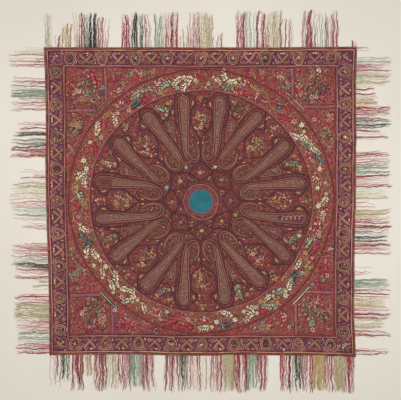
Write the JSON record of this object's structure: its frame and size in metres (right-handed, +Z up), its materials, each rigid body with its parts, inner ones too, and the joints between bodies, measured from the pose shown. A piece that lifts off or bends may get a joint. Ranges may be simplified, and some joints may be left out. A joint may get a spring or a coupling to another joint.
{
  "type": "fringed square shawl",
  "caption": "Square embroidered wool shawl laid out flat, with a plain round middle, a patterned border and a long many-coloured fringe on all sides.",
  "frame": {"origin": "on the ground under the middle of the shawl", "axes": "+Z up through the cloth, +Y towards the shawl's top edge, +X towards its right edge as seen from above"},
  "size_m": [2.312, 2.3119, 0.0066],
  "materials": {
    "field": "red wool twill covered with fine embroidery, matt",
    "moon": "plain deep blue-green wool twill, matt",
    "border": "purple-brown wool twill with embroidered roundels, matt",
    "fringe": "silky wool threads, crimson by turns with cream, gold, green and black"
  },
  "bodies": {
    "root": {"field": "field", "moon": "moon", "border_top": "border", "border_right": "border", "border_bottom": "border", "border_left": "border", "fringe_top": "fringe", "fringe_right": "fringe", "fringe_bottom": "fringe", "fringe_left": "fringe"}
  },
  "joints": []
}
